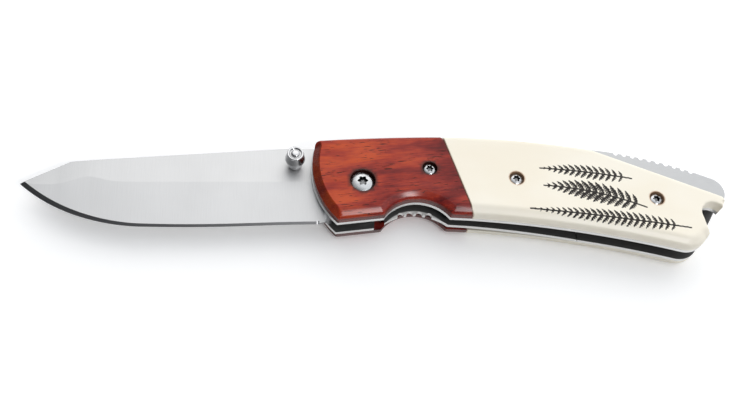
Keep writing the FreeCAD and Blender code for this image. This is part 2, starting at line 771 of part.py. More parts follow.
tang = new_body("tang", z=f"{FACE} - blade_thickness / 2")
tang_outline = new_sketch(tang)
draw(
    tang_outline,
    [
        (("-heel_reach", "spine_rise"), None),
        (("-heel_reach", "-edge_drop"), None),
        (around("shoulder_radius", CLOSED_SHOULDER), None),
        (around("tang_radius", CLOSED_SHOULDER), ("tang_radius", -1)),
        (("lock_face_reach", "-sqrt(tang_radius^2 - lock_face_reach^2)"), None),
        (("lock_face_reach", "-lock_face_top"), None),
        (("sqrt(tang_radius^2 - lock_face_top^2)", "-lock_face_top"), ("tang_radius", -1)),
        (around("tang_radius", OPEN_SHOULDER), None),
        (around("shoulder_radius", OPEN_SHOULDER), None),
    ],
)
pad(tang, tang_outline, "blade_thickness")
pivot_hole = new_sketch(tang)
draw_circle(pivot_hole, "0", "0", "barrel_diameter / 2 + turning_clearance")
pocket(tang, pivot_hole, up=True)
# the dimple that the ball drops into when the blade is closed
dimple = new_sketch(tang)
draw_circle(
    dimple,
    "ball_reach * cos(closed_angle) - ball_drop * sin(closed_angle)",
    "-ball_reach * sin(closed_angle) - ball_drop * cos(closed_angle)",
    "ball_diameter / 2",
)
pocket(tang, dimple, "ball_rise", up=True)

STEPS = (0, 0.25, 0.5, 0.75, 1)
belly_start = number("blade_reach + point_land - belly_length")
clip_start = number("blade_reach + point_land - clip_length")
straight_reaches = [number("heel_reach"), number("ramp_reach"), belly_start]
belly_reaches = [belly_start + step * (clip_start - belly_start) for step in STEPS]
point_reaches = [clip_start + step * number("clip_length - point_land") for step in STEPS]
whole_blade = doc.addObject("Part::MultiFuse", "whole_blade")
whole_blade.Shapes = [
    tang,
    blade_stretch("straight_stretch", straight_reaches, True),
    blade_stretch("belly_stretch", belly_reaches, False),
    blade_stretch("point_stretch", point_reaches, False),
]
whole_blade.Refine = True
blade = doc.addObject("Part::Cut", "blade")
blade.Label = "blade"
blade.Base = whole_blade
STUD = ("-stud_reach", "stud_rise")
STUD_HOLE = "stud_shank_diameter / 2 + fit_clearance"
blade.Tool = cylinder("stud_hole", STUD_HOLE, "blade_thickness", *STUD, f"{FACE} - blade_thickness / 2")

# The stud is barrel shaped and stands on the show side of the blade. A low screw holds it from behind.
thumb_stud = new_body("thumb_stud", *STUD, z=f"{FACE} + blade_thickness / 2")
stud_profile = new_sketch(thumb_stud, "XZ_Plane")
draw(
    stud_profile,
    [
        (("stud_bore / 2", "fit_clearance - blade_thickness"), None),
        (("stud_shank_diameter / 2", "fit_clearance - blade_thickness"), None),
        (("stud_shank_diameter / 2", "0"), None),
        (("stud_base_diameter / 2", "0"), None),
        (("stud_belly_diameter / 2", "stud_height - stud_belly_drop"), None),
        (("stud_head_diameter / 2", "stud_height - stud_rim"), None),
        (("stud_head_diameter / 2", "stud_height - stud_chamfer"), None),
        (("stud_head_diameter / 2 - stud_chamfer", "stud_height"), None),
        (("0", "stud_height"), None),
        (("0", "0"), None),
        (("stud_bore / 2", "0"), None),
    ],
)
revolve(thumb_stud, stud_profile)
stud_screw = new_body("stud_screw", *STUD, z=f"{FACE} - blade_thickness / 2")
stud_screw_profile = new_sketch(stud_screw, "XZ_Plane")
draw(
    stud_screw_profile,
    [
        (("0", "-stud_screw_height"), None),
        (("stud_screw_head / 2 - stud_chamfer", "-stud_screw_height"), None),
        (("stud_screw_head / 2", "stud_chamfer - stud_screw_height"), None),
        (("stud_screw_head / 2", "0"), None),
        (("stud_bore / 2 - fit_clearance", "0"), None),
        (("stud_bore / 2 - fit_clearance", "blade_thickness / 2"), None),
        (("0", "blade_thickness / 2"), None),
    ],
)
revolve(stud_screw, stud_screw_profile)

doc.recompute()

NODES = [
    *("blade", "thumb_stud", "stud_screw"),
    *("front_liner", "rear_liner", "lock_leaf", "detent_ball"),
    *("front_bolster", "rear_bolster", "front_scale", "rear_scale"),
    *("back_spacer", *PINS),
    *("pivot_barrel", "front_washer", "rear_washer", "front_pivot_screw", "rear_pivot_screw"),
    *(f"{side}_{name}_screw" for side in ("front", "rear") for name in SMALL_SCREWS),
]
for thing in doc.Objects:
    if {"Invalid", "Error"} & set(thing.State):
        raise RuntimeError(f"{thing.Label} failed: {thing.State}")
os.makedirs("parts", exist_ok=True)
for label in NODES:
    shape = doc.getObjectsByLabel(label)[0].Shape
    if shape.isNull() or not shape.isValid() or len(shape.Solids) != 1:
        raise RuntimeError(f"{label} is not one valid solid")
    shape.exportStep(f"parts/{label}.step")
    print(f"{label}: {shape.Volume:.2f} mm3")
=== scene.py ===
"""A liner-lock folding knife, open and lying on its rear side, show side up."""

import json
import math

import bmesh
import bpy
import numpy as np
from mathutils import Matrix, Vector, geometry


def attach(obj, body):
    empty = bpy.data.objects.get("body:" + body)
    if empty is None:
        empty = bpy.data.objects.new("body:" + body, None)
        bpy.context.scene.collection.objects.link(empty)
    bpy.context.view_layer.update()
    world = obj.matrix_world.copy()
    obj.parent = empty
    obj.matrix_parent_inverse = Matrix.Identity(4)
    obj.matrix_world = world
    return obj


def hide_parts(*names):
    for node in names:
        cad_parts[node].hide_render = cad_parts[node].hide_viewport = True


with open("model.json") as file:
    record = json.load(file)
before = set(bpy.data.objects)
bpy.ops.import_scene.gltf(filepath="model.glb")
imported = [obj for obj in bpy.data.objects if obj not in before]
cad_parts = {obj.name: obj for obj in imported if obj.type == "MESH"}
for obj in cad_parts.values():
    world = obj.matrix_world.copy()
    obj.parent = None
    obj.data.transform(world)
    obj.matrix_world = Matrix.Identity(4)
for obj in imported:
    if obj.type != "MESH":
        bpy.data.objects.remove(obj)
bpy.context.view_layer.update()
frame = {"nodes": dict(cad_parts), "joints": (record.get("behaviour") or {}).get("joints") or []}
nodes = frame["nodes"]
scene = bpy.context.scene

# Liners: two plates of stainless sheet, cut to the outline of the handle and finished on a fine
# belt. They are shown as they were modelled.


class Shade:
    """A socket in a material's tree. Operators on values add Math nodes."""

    def __init__(self, tree, socket=None):
        self.tree, self.socket = tree, socket

    def node(self, kind, settings=None, sockets=None, out=0):
        """Adds a node of a type, sets it up, fills its sockets and gives one of its outputs."""
        made = self.tree.nodes.new(f"ShaderNode{kind}")
        for name, value in (settings or {}).items():
            if name == "stops":
                for _ in value[2:]:
                    made.color_ramp.elements.new(1.0)
                for element, (place, colour) in zip(made.color_ramp.elements, value):
                    element.position = place
                    element.color = (*colour, 1.0)
            else:
                setattr(made, name, value)
        for name, value in (sockets or {}).items():
            if isinstance(value, Shade):
                self.tree.links.new(value.socket, made.inputs[name])
            else:
                made.inputs[name].default_value = value
        return Shade(self.tree, made.outputs[out] if made.outputs else None)

    def math(self, operation, first, second):
        return self.node("Math", {"operation": operation}, {0: first, 1: second})

    def __add__(self, other):
        return self.math("ADD", self, other)

    def __sub__(self, other):
        return self.math("SUBTRACT", self, other)

    def __rsub__(self, other):
        return self.math("SUBTRACT", other, self)

    def __mul__(self, other):
        return self.math("MULTIPLY", self, other)

    __radd__ = __add__
    __rmul__ = __mul__

    def __abs__(self):
        return self.node("Math", {"operation": "ABSOLUTE"}, {0: self})

    def most(self, other):
        """The larger of this value and another."""
        return self.math("MAXIMUM", self, other)

    def place(self, axis):
        """How far along X, Y or Z a point lies, in the piece's own metres."""
        return self.node("SeparateXYZ", {}, {0: self.node("TexCoord", out=3)}, out=axis)

    def facing(self, axis):
        """How much the surface faces along X, Y or Z."""
        return self.node("SeparateXYZ", {}, {0: self.node("NewGeometry", out=1)}, out=axis)

    def between(self, low, high):
        """0 at low and 1 at high, with a soft step between them."""
        settings = {"interpolation_type": "SMOOTHSTEP"}
        return self.node("MapRange", settings, {"Value": self, "From Min": low, "From Max": high})

    def mixed(self, first, second):
        """The first colour where this value is 0 and the second where it is 1."""
        return self.node("Mix", {"data_type": "RGBA"}, {0: self, 6: first, 7: second}, out=2)

    def noise(self, stretch, detail=4.0, roughness=0.55, turn=0.0):
        """Noise over the piece's own metres, turned in the XY plane and scaled along X, Y and Z."""
        place = self.node("TexCoord", out=3)
        turned_place = self.node("Mapping", {}, {"Vector": place, "Rotation": (0.0, 0.0, turn)})
        drawn = self.node("Mapping", {}, {"Vector": turned_place, "Scale": stretch})
        sockets = {"Vector": drawn, "Scale": 1.0, "Detail": detail, "Roughness": roughness}
        return self.node("TexNoise", {}, sockets)

    def raised(self, distance):
        """A normal that reads this value as a height, where 1 is distance metres."""
        return self.node("Bump", {}, {"Height": self, "Distance": distance})


def finish(name, describe):
    """A material. describe gets the start of its tree and gives a Principled shader's sockets."""
    material = bpy.data.materials.new(name)
    material.use_nodes = True
    material.node_tree.nodes.clear()
    start = Shade(material.node_tree)
    shader = start.node("BsdfPrincipled", {}, describe(start))
    start.node("OutputMaterial", {}, {"Surface": shader})
    return material


def ground_steel(start, tone, strokes, low, high):
    """Steel with the fine strokes of a belt; strokes is the noise's scale along X, Y and Z."""
    grain = start.noise(strokes, detail=3.0)
    cloud = start.noise((60.0, 60.0, 60.0), detail=2.0)
    dark = tuple(0.91 * part for part in tone)
    return {
        "Base Color": (0.6 * grain + 0.4 * cloud).between(0.3, 0.7).mixed((*dark, 1), (*tone, 1)),
        "Metallic": 1.0,
        "Roughness": low + (high - low) * grain.between(0.3, 0.7),
        "Normal": grain.raised(0.0000025),
    }


pivot = np.array(next(joint["pos_m"] for joint in frame["joints"] if joint["name"] == "blade_fold"))
MILLIMETRE = 0.001
SLOT_HALF = 2.13
# SLOT_SHADE_TONE is painted shade: the dark given to steel faces that lie in shadow inside the handle.
BELT_STROKES, SLOT_SHADE_TONE = (400, 9000, 9000), (0.07, 0.069, 0.067, 1)


def with_slot_shade(sockets, bright):
    """Ground steel where bright is 1, and painted shade, a dark tone that is not metal, where it is 0."""
    tone = bright.mixed(SLOT_SHADE_TONE, sockets["Base Color"])
    return {**sockets, "Base Color": tone, "Metallic": bright}


def liner_finish(start):
    """Bright along the cut edges and greyer on the flat faces, as painted light by which way they face,
    and painted shade, dark, on the faces inside the slot.
    """
    sockets = ground_steel(start, (0.78, 0.78, 0.77), BELT_STROKES, 0.3, 0.42)
    # Painted light: the flat faces take a greyer tone than the cut edges.
    flat = abs(start.facing(2)).between(0.5, 0.8)
    sockets["Base Color"] = flat.mixed(sockets["Base Color"], (0.41, 0.415, 0.42, 1))
    # Painted shade on the faces that lie inside the slot.
    depth = abs(start.place(2) - float(pivot[2]))
    inner = (SLOT_HALF + 0.02) * MILLIMETRE
    return with_slot_shade(sockets, depth.between(inner, inner + 0.05 * MILLIMETRE))


def dress(names, material):
    """Gives its material to each piece that is shown as it was modelled."""
    for name in names:
        nodes[name].data.materials.clear()
        nodes[name].data.materials.append(material)


dress(["front_liner", "rear_liner"], finish("liner steel", liner_finish))

# Lock leaf: the tongue of the rear liner, bent inward to spring behind the tang. Its outer edge is
# ground bright. A band along the thumb's scallops is painted pale as painted light, where the finger
# cut lets light in, and the rest is painted shade, dark.
CUT_CENTRE, THUMB_RADIUS = np.array([14.95, -16.56]), 10.8


def leaf_finish(start):
    """Bright where it faces outward, painted light, pale and matt, within THUMB_RADIUS of the finger
    cut's centre, and painted shade beyond it.
    """
    sockets = ground_steel(start, (0.76, 0.76, 0.75), BELT_STROKES, 0.26, 0.38)
    within = start.facing(1).between(-0.4, -0.1)
    middle = pivot[:2] + CUT_CENTRE * MILLIMETRE
    x, y = (start.place(axis) - float(middle[axis]) for axis in (0, 1))
    # Painted light within the finger cut's reach, painted shade beyond it.
    shaded_beyond = ((x * x + y * y) * 1e6).between((THUMB_RADIUS - 0.2) ** 2, (THUMB_RADIUS + 0.2) ** 2)
    tone = shaded_beyond.mixed((0.72, 0.72, 0.7, 1), SLOT_SHADE_TONE)
    sockets["Base Color"] = within.mixed(sockets["Base Color"], tone)
    return {**sockets, "Metallic": 1.0 - within}


dress(["lock_leaf"], finish("leaf steel", leaf_finish))

# Back spacer: a bar of the same steel between the liners. Its toothed top is ground flush with theirs
# on the hump, and its underside, which closes the blade's slot, is painted dark as painted shade.


def spacer_finish(start):
    """Bright where the bar faces up the back, and painted shade, dark, where it faces into the slot."""
    sockets = ground_steel(start, (0.6, 0.6, 0.6), BELT_STROKES, 0.3, 0.42)
    return with_slot_shade(sockets, start.facing(1).between(-0.2, 0.1))


dress(["back_spacer"], finish("spacer steel", spacer_finish))

# Pins, barrel, ball and washers: turned and polished steel, and stamped bronze. All of them sit
# inside the handle, where they show only through the blade's slot and the notch.
PIN_TONE, PIN_LINES = (0.6, 0.6, 0.6), (3000, 3000, 200)
BRONZE_TONE, BRONZE_GRAIN = (0.62, 0.4, 0.19), (2500, 2500, 2500)
PINS = ("stop_pin", "lanyard_pin", "spacer_pin_front", "spacer_pin_back", "pivot_barrel", "detent_ball")
pin_steel = finish("pin steel", lambda start: ground_steel(start, PIN_TONE, PIN_LINES, 0.16, 0.28))
bronze = finish("bronze", lambda start: ground_steel(start, BRONZE_TONE, BRONZE_GRAIN, 0.3, 0.45))
dress(PINS, pin_steel)
dress(["front_washer", "rear_washer"], bronze)

# Blade: flat-ground stainless with a satin finish. The flat runs from the back to the grind line,
# a straight bevel from there to the edge, and a narrow sharpened bevel along the edge itself.
BLADE_REACH, POINT_RISE, POINT_LAND, EDGE_DROP = 92.9, 2.9, 0.15, 10.1
BELLY_LENGTH, CLIP_LENGTH, CLIP_RISE = 32.9, 12.9, 9.3
RAMP_REACH, SPINE_RISE, HEEL_REACH = 21.0, 13.7, 12.8
GRIND_RISE, GRIND_SWEEP, GRIND_DIP = 2.6, 1.8, 0.65
GRIND_HUMP, HUMP_REACH, HUMP_WIDTH = 1.6, 75.2, 5.0
BLADE_HALF, EDGE_HALF, SPINE_BREAK = 1.7, 0.15, 0.22
EDGE_SAG, SAG_END = 0.6, 78.0
RING_START, DENSE_END = 8.6, 14.0
BACK_DRAW, EDGE_DRAW = 0.1036, 0.254
SHARP_WIDTH, SHARP_GAIN, GAIN_START, GAIN_LENGTH = 0.7, 0.9, 50.0, 40.0
KEEN_SLOPE, KEEN_LOSS, KEEN_HALF = 0.55, 0.14, 0.03
RUN_OUT_START, RUN_OUT_LENGTH, BLUNT_END, BLUNT_LENGTH = 9.4, 2.2, 11.8, 0.6
DIMPLE, DIMPLE_RADIUS, DIMPLE_DEPTH = np.array([-9.42, 4.4]), 0.8, 0.4


def sheet(points, wrap=True):
    """Points in rows and columns, with four-sided faces; wrap joins the last column to the first."""
    rows, columns = points.shape[:2]
    index = np.arange(rows * columns).reshape(rows, columns)
    if wrap:
        index = np.hstack([index, index[:, :1]])
    faces = np.stack([index[:-1, :-1], index[:-1, 1:], index[1:, 1:], index[1:, :-1]], axis=-1)
    return points.reshape(-1, 3), faces.reshape(-1, 4).tolist()


def cap(ring):
    """One flat face over a closed ring of points."""
    return ring, [list(range(len(ring)))]


def piece(name, parts, body, replaced, material, crease, marks=None):
    """Joins parts, each (points in millimetres from the pivot, faces), into one closed mesh and puts
    it on its body. Edges that turn by more than crease degrees stay sharp. marks are values to keep
    on the points, in the parts' order."""
    points = np.vstack([part[0] for part in parts]) * MILLIMETRE + pivot
    starts = np.cumsum([0] + [len(part[0]) for part in parts])
    faces = [[first + n for n in face] for first, part in zip(starts, parts) for face in part[1]]
    mesh = bpy.data.meshes.new(name)
    mesh.from_pydata(points.tolist(), [], faces)
    for mark, values in (marks or {}).items():
        mesh.attributes.new(mark, "FLOAT", "POINT").data.foreach_set("value", values.astype(np.float32))
    work = bmesh.new()
    work.from_mesh(mesh)
    bmesh.ops.remove_doubles(work, verts=work.verts, dist=0.000002)
    bmesh.ops.dissolve_degenerate(work, edges=work.edges, dist=0.000001)
    bmesh.ops.recalc_face_normals(work, faces=work.faces)
    work.to_mesh(mesh)
    work.free()
    mesh.shade_smooth()
    mesh.set_sharp_from_angle(angle=math.radians(crease))
    mesh.materials.append(material)
    made = bpy.data.objects.new(name, mesh)
    scene.collection.objects.link(made)
    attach(made, body)
    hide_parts(*replaced)
    return made


def blade_lines(reach):
    """Heights of the back, the grind line and the edge, and half the thickness at the grind line, at
    distances from the pivot. The belly is an arc and the clip a straight line, and both end at the
    point. Behind the belly the edge bows out by EDGE_SAG. The grind line has a hump of GRIND_HUMP, and
    dips by GRIND_DIP on its way to the point."""
    point = BLADE_REACH + POINT_LAND
    share = np.clip((reach - point + BELLY_LENGTH) / BELLY_LENGTH, 0, 1)
    rise = POINT_RISE + EDGE_DROP
    belly = (BELLY_LENGTH**2 + rise**2) / (2 * rise)
    edge = belly - np.sqrt(belly**2 - (share * BELLY_LENGTH) ** 2) - EDGE_DROP
    bow = np.clip((reach - HEEL_REACH) / (SAG_END - HEEL_REACH), 0, 1)
    edge = edge - EDGE_SAG * np.sin(np.pi * bow) ** 2
    clip = point - CLIP_LENGTH
    slope = (SPINE_RISE - CLIP_RISE) / (clip - RAMP_REACH)
    fall = (CLIP_RISE - POINT_RISE) / CLIP_LENGTH
    straight = SPINE_RISE - slope * np.clip(reach - RAMP_REACH, 0, clip - RAMP_REACH)
    back = straight - fall * np.maximum(reach - clip, 0)
    level = GRIND_RISE + (POINT_RISE - GRIND_RISE) * share
    steepness = (BLADE_HALF - EDGE_HALF) / (GRIND_RISE + EDGE_DROP)
    swept = level + GRIND_SWEEP * np.sin(np.pi * share) ** 2
    half = np.minimum(BLADE_HALF, EDGE_HALF + steepness * (swept - edge))
    past = np.clip((reach - HUMP_REACH) / (point - HUMP_REACH), 0, 1)
    hump = GRIND_HUMP * np.exp(-(((reach - HUMP_REACH) / HUMP_WIDTH) ** 2))
    grind = level + hump - GRIND_DIP * np.sin(np.pi * past)
    return back, grind, edge, half


def blade_surface():
    """Rings about the blade at stations from the heel to the point. Each ring goes over the back, down
    the flat and the bevel, then the sharpened bevel, round the edge and up the other side. Towards the
    heel the sharpening stops at a blunt edge, the bevel runs out in a quarter circle, and the back and
    the edge draw in to the tang. The rear flat has the round dimple that holds the ball."""
    dense = np.linspace(RING_START, DENSE_END, 45)[:-1]
    spread = DENSE_END + (BLADE_REACH - DENSE_END) * np.linspace(0, 1, 170) ** 0.8
    reach = np.append(dense, spread)
    back, grind, edge, half = blade_lines(reach)
    inside_heel = np.maximum(HEEL_REACH - reach, 0)
    back = back - BACK_DRAW * inside_heel
    edge = edge + EDGE_DRAW * inside_heel
    share = np.clip((reach - GAIN_START) / GAIN_LENGTH, 0, 1)
    sharp = np.minimum(SHARP_WIDTH + SHARP_GAIN * share**2, 0.8 * (back - edge))
    grind = np.maximum(grind, edge + 1.06 * sharp)
    run_out = np.clip((reach - RUN_OUT_START) / RUN_OUT_LENGTH, 0, 1)
    shown = np.sqrt(1 - (1 - run_out) ** 2)
    land = EDGE_HALF + (half - EDGE_HALF) * (1 - shown)
    shoulder = edge + sharp
    straight = land + (half - land) * sharp / (grind - edge)
    keen = KEEN_SLOPE - KEEN_LOSS * share**2
    shoulder_half = np.maximum(straight, KEEN_HALF + keen * sharp)
    half = np.clip(shoulder_half + 0.1 * (grind - shoulder), half, BLADE_HALF)
    blunt = shoulder_half - (half - shoulder_half) / (grind - shoulder) * sharp
    edge_half = blunt + (KEEN_HALF - blunt) * np.clip((reach - BLUNT_END) / BLUNT_LENGTH, 0, 1)
    edge_half = np.minimum(np.maximum(edge_half, KEEN_HALF + land - EDGE_HALF), shoulder_half)
    broken = np.minimum(SPINE_BREAK, 0.3 * half)
    middle = (grind + shoulder) / 2
    levels = (DIMPLE[1] + DIMPLE_RADIUS * np.linspace(1, -1, 11) - grind[0]) / (back[0] - grind[0])
    side = [
        (back, half - broken),
        (back - 0.3 * broken, half - 0.3 * broken),
        (back - broken, half),
        *[(grind + (back - broken - grind) * level, half) for level in levels],
        (grind, half),
        (middle, (half + shoulder_half) / 2),
        (shoulder, shoulder_half),
        (edge, edge_half),
    ]
    ring = [(y, z) for y, z in side] + [(y, -z) for y, z in reversed(side)]
    rows = np.stack([np.stack([-reach, y, z], axis=-1) for y, z in ring], axis=1)
    gap = np.linalg.norm(rows[..., :2] - DIMPLE, axis=-1) / DIMPLE_RADIUS
    rows[..., 2] += DIMPLE_DEPTH * np.clip(1 - gap**2, 0, 1) * (rows[..., 2] < 0)
    return [sheet(rows), cap(rows[0]), cap(rows[-1])]


TANG_RADIUS, SHOULDER_RADIUS, TANG_HOLE = 8.7, 13.4, 3.03
TANG_FRONT, TANG_TOP, TANG_FOOT = -8.62, 13.27, -8.4
LOCK_REACH, LOCK_TOP = 6.15, 1.9
STOP_DISTANCE, STOP_RADIUS, STOP_ANGLE, CLOSED_ANGLE = 11.0, 2.05, 50.0, 175.0


def polar(radius, degrees):
    """Points at a radius and angles about the pivot."""
    angle = np.radians(np.atleast_1d(degrees))
    return np.stack([radius * np.cos(angle), radius * np.sin(angle)], axis=-1)


def tang_surface():
    """The tang's outline drawn in towards the pivot hole, as a plate: its shoulders lie on rays from
    the pivot, and its lower rear face is the flat that the lock leaf stands behind."""
    span = math.degrees(math.asin(STOP_RADIUS / STOP_DISTANCE))
    opened, closed = STOP_ANGLE + span, STOP_ANGLE - CLOSED_ANGLE - span
    lock_low = -math.degrees(math.acos(LOCK_REACH / TANG_RADIUS))
    lock_high = -math.degrees(math.asin(LOCK_TOP / TANG_RADIUS))
    front = np.linspace(TANG_TOP, TANG_FOOT, 24)[:, None]
    lock_face = np.linspace(TANG_RADIUS * math.sin(math.radians(lock_low)), -LOCK_TOP, 6)[1:, None]
    outline = np.vstack(
        [
            np.hstack([np.full_like(front, TANG_FRONT), front]),
            polar(TANG_RADIUS, np.linspace(closed, lock_low, 40)),
            np.hstack([np.full_like(lock_face, LOCK_REACH), lock_face]),
            polar(TANG_RADIUS, np.linspace(lock_high, opened, 36)),
            polar(SHOULDER_RADIUS, opened + 0.5),
        ]
    )
    hole = TANG_HOLE * outline / np.linalg.norm(outline, axis=1, keepdims=True)
    share = np.linspace(0, 1, 4)[:, None, None]
    flat = hole + (outline - hole) * share
    faces = np.concatenate([flat, np.full((*flat.shape[:2], 1), BLADE_HALF)], axis=-1)
    under = faces * (1, 1, -1)
    walls = [np.stack([faces[row], under[row]]) for row in (0, -1)]
    return [sheet(part) for part in (faces, under, *walls)]


BLADE_TONE, BLADE_STROKES = (0.64, 0.64, 0.64), (5000, 150, 150)
# BEVEL_SHADE_TONE is painted shade on the sharpened bevel.
BEVEL_SHADE_TONE, WHEEL_ROUGHNESS = (0.25, 0.25, 0.255, 1), 0.3


def blade_finish(start):
    """Fine strokes across the blade. The sharpened bevel, which leans over more than the rest, is rougher
    and painted darker, as painted shade."""
    sockets = ground_steel(start, BLADE_TONE, BLADE_STROKES, 0.5, 0.56)
    lean = start.node("SeparateXYZ", {}, {0: start.node("TexCoord", out=1)}, out=1)
    # Painted shade on the sharpened bevel, found by how far it leans.
    satin_part = lean.between(-0.34, -0.22)
    tone = satin_part.mixed(BEVEL_SHADE_TONE, sockets["Base Color"])
    rough = WHEEL_ROUGHNESS + satin_part * (sockets["Roughness"] - WHEEL_ROUGHNESS)
    return {**sockets, "Base Color": tone, "Roughness": rough}


satin = finish("blade steel", blade_finish)
blade_parts = blade_surface() + tang_surface()
piece("blade_steel", blade_parts, "blade", ["blade"], satin, 4)

# Thumb stud: turned from bar to a barrel shape, with a ringed and domed end. A low screw through the
# blade holds it from behind.
STUD = np.array([-18.5, 8.1])


def turned(profile, centre, count=72, facing=1):
    """A profile of (radius, height) points spun about an upright line; facing -1 turns it over."""
    profile = np.array(profile)
    angle = np.linspace(0, 2 * np.pi, count, endpoint=False)
    radius, height = profile[:, :1], profile[:, 1:]
    rows = np.stack(
        [
            centre[0] + radius * np.cos(angle),
            centre[1] + radius * np.sin(angle),
            facing * height + 0 * angle,
        ],
        axis=-1,
    )
    return sheet(rows)


STUD_PROFILE = [
    (0.0, -1.68), (1.2, -1.68), (1.2, 1.7), (1.8, 1.7), (1.85, 1.76), (2.12, 2.75), (2.4, 3.75),
    (2.67, 4.72), (2.77, 5.1), (2.8, 5.3), (2.78, 5.5), (2.7, 5.95), (2.57, 6.7), (2.42, 7.45),
    (2.41, 7.6), (2.36, 7.76), (2.27, 7.9), (2.14, 7.98), (2.0, 8.0), (1.86, 7.97), (1.74, 7.9),
    (1.64, 7.8), (1.56, 7.7), (1.46, 7.64), (1.34, 7.64), (1.27, 7.7), (1.22, 7.84), (1.12, 7.98),
    (0.96, 8.1), (0.76, 8.2), (0.52, 8.26), (0.26, 8.29), (0.0, 8.3),
]
STUD_SCREW_PROFILE = [
    (0.0, 0.0), (0.63, 0.0), (0.63, -1.7), (1.75, -1.7), (1.8, -1.78), (1.8, -2.1), (1.72, -2.28),
    (1.5, -2.4), (0.75, -2.4), (0.7, -2.35), (0.7, -2.1), (0.0, -2.1),
]
STUD_TONE, STUD_RINGS = (0.58, 0.58, 0.585), (600, 600, 9000)
stud_steel = finish("stud steel", lambda start: ground_steel(start, STUD_TONE, STUD_RINGS, 0.14, 0.24))
piece("stud", [turned(STUD_PROFILE, STUD)], "blade", ["thumb_stud"], stud_steel, 28)
stud_back = turned(STUD_SCREW_PROFILE, STUD, 48)
piece("stud_back", [stud_back], "blade", ["stud_screw"], stud_steel, 28)

# Bolsters: red hardwood with an open grain, oiled to a gloss. Each is a plate with a slanted nose,
# rounded long edges and a finger cut, screwed to its liner through two counterbores.
LINER_FACE, HANDLE_FACE = 3.35, 7.03
NOSE_FOOT, NOSE_BROW, BROW = np.array([[-7.05, -11.5], [-12.9, 11.6], [-11.5, 13.45]])
JOINT_TOP, JOINT_FOOT = np.array([[24.0, 14.9], [30.3, -10.4]])
CUT_END, CUT_START = np.array([[24.3, -10.05], [5.6, -10.05]])
BOLSTER_BORES = [((0.0, 0.0), 3.55, 2.9, 1.62), ((19.25, 3.96), 2.15, 1.9, 1.02)]
NOSE_BEVEL, NOSE_CREST, TOP_ROUND, JOINT_BREAK = 2.0, 0.25, 1.1, 0.35
FOOT_BEVEL, FOOT_SLOPE, FOOT_EASE, FOOT_ROUND = 2.5, 0.62, 0.8, 0.7
NOSE_BULGE, BROW_BULGE, TOP_BULGE, CORNER_BULGE, CUT_BULGE = 3.09, 0.38, 0.28, 0.24, -4.88


def run(start, stop, bulge=0.0, step=0.4):
    """Points from start up to but not with stop, straight or on an arc that stands off the straight
    line by bulge, to the left of the way where that is above 0."""
    way = stop - start
    length = np.linalg.norm(way)
    share = np.arange(max(2, round(length / step)))[:, None] / max(2, round(length / step))
    if not bulge:
        return start + way * share
    left = np.array([-way[1], way[0]]) / length
    radius = (length**2 / 4 + bulge**2) / (2 * abs(bulge))
    half = 2 * math.atan(2 * abs(bulge) / length)
    turn = half * (2 * share - 1)
    across = np.sin(turn) / math.sin(half) / 2
    rise = math.copysign(1, bulge) * radius * (np.cos(turn) - math.cos(half))
    return (start + stop) / 2 + way * across + left * rise


def distance(points, line, closed=False):
    """Least distance from each point to a line through points, measured to its straight runs."""
    ends = np.roll(line, -1, axis=0) if closed else line[1:]
    starts = line if closed else line[:-1]
    nearest = np.full(len(points), np.inf)
    for some in np.array_split(np.arange(len(starts)), max(1, len(starts) // 60)):
        first, way = starts[some], ends[some] - starts[some]
        reach = points[:, None] - first
        share = np.clip((reach * way).sum(-1) / (way**2).sum(-1), 0, 1)
        gap = np.linalg.norm(reach - way * share[..., None], axis=-1)
        nearest = np.minimum(nearest, gap.min(1))
    return nearest


def inside(points, loop):
    """Which points lie within a closed loop, by the crossings of a ray along X."""
    after = np.roll(loop, -1, axis=0)
    x, y = points[:, :1], points[:, 1:]
    found = np.zeros(len(points), bool)
    for some in np.array_split(np.arange(len(loop)), max(1, len(loop) // 60)):
        (x0, y0), (x1, y1) = loop[some].T, after[some].T
        slope = (x1 - x0) / np.where(y1 == y0, 1.0, y1 - y0)
        crossed = ((y0 > y) != (y1 > y)) & (x < x0 + (y - y0) * slope)
        found ^= np.logical_xor.reduce(crossed, axis=1)
    return found


def filled(loops, inner):
    """Triangles within the first loop and outside the others, through the inner points as well."""
    points = np.vstack([*loops, inner])
    edges, first = [], 0
    for loop in loops:
        index = first + np.arange(len(loop))
        edges += np.stack([index, np.roll(index, -1)], axis=-1).tolist()
        first += len(loop)
    found = geometry.delaunay_2d_cdt([Vector(point) for point in points.tolist()], edges, [], 0, 1e-6)
    spots = np.array([tuple(spot) for spot in found[0]])
    corners = np.array(found[2])
    middle = spots[corners].mean(1)
    keep = inside(middle, loops[0])
    for loop in loops[1:]:
        keep &= ~inside(middle, loop)
    return spots, corners[keep]


def single(points):
    """Points at the 32-bit precision that filling works in, so that faces and walls meet exactly."""
    return np.float32(points).astype(float)


def circle(centre, radius, count=48):
    """A closed ring of points about a centre."""
    return single(np.array(centre) + polar(radius, np.arange(count) * 360 / count))


